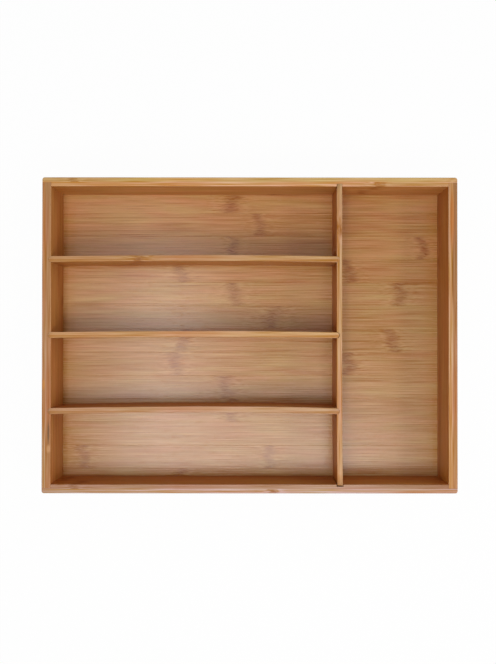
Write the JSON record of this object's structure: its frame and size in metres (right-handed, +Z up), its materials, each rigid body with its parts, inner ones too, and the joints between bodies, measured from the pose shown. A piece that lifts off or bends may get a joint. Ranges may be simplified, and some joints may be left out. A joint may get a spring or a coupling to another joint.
{
  "type": "cutlery tray",
  "caption": "Shallow rectangular bamboo tray with long side-by-side rows for cutlery and one tall compartment across the end, for a kitchen drawer.",
  "frame": {"origin": "under the middle of the tray, on the surface that it rests on", "axes": "+X along the rows towards the tall compartment, +Y to the back wall, +Z up out of the open top"},
  "size_m": [0.342, 0.26, 0.05],
  "materials": {
    "back_board": "satin lacquered bamboo",
    "front_board": "satin lacquered bamboo",
    "side_board": "satin lacquered bamboo",
    "floor_sheet": "satin lacquered bamboo",
    "divider_slat": "satin lacquered bamboo"
  },
  "bodies": {
    "root": {"back_wall": "back_board", "front_wall": "front_board", "left_wall": "side_board", "right_wall": "side_board", "floor_panel": "floor_sheet", "long_divider": "divider_slat", "short_divider_1": "divider_slat", "short_divider_2": "divider_slat", "short_divider_3": "divider_slat"}
  },
  "joints": []
}
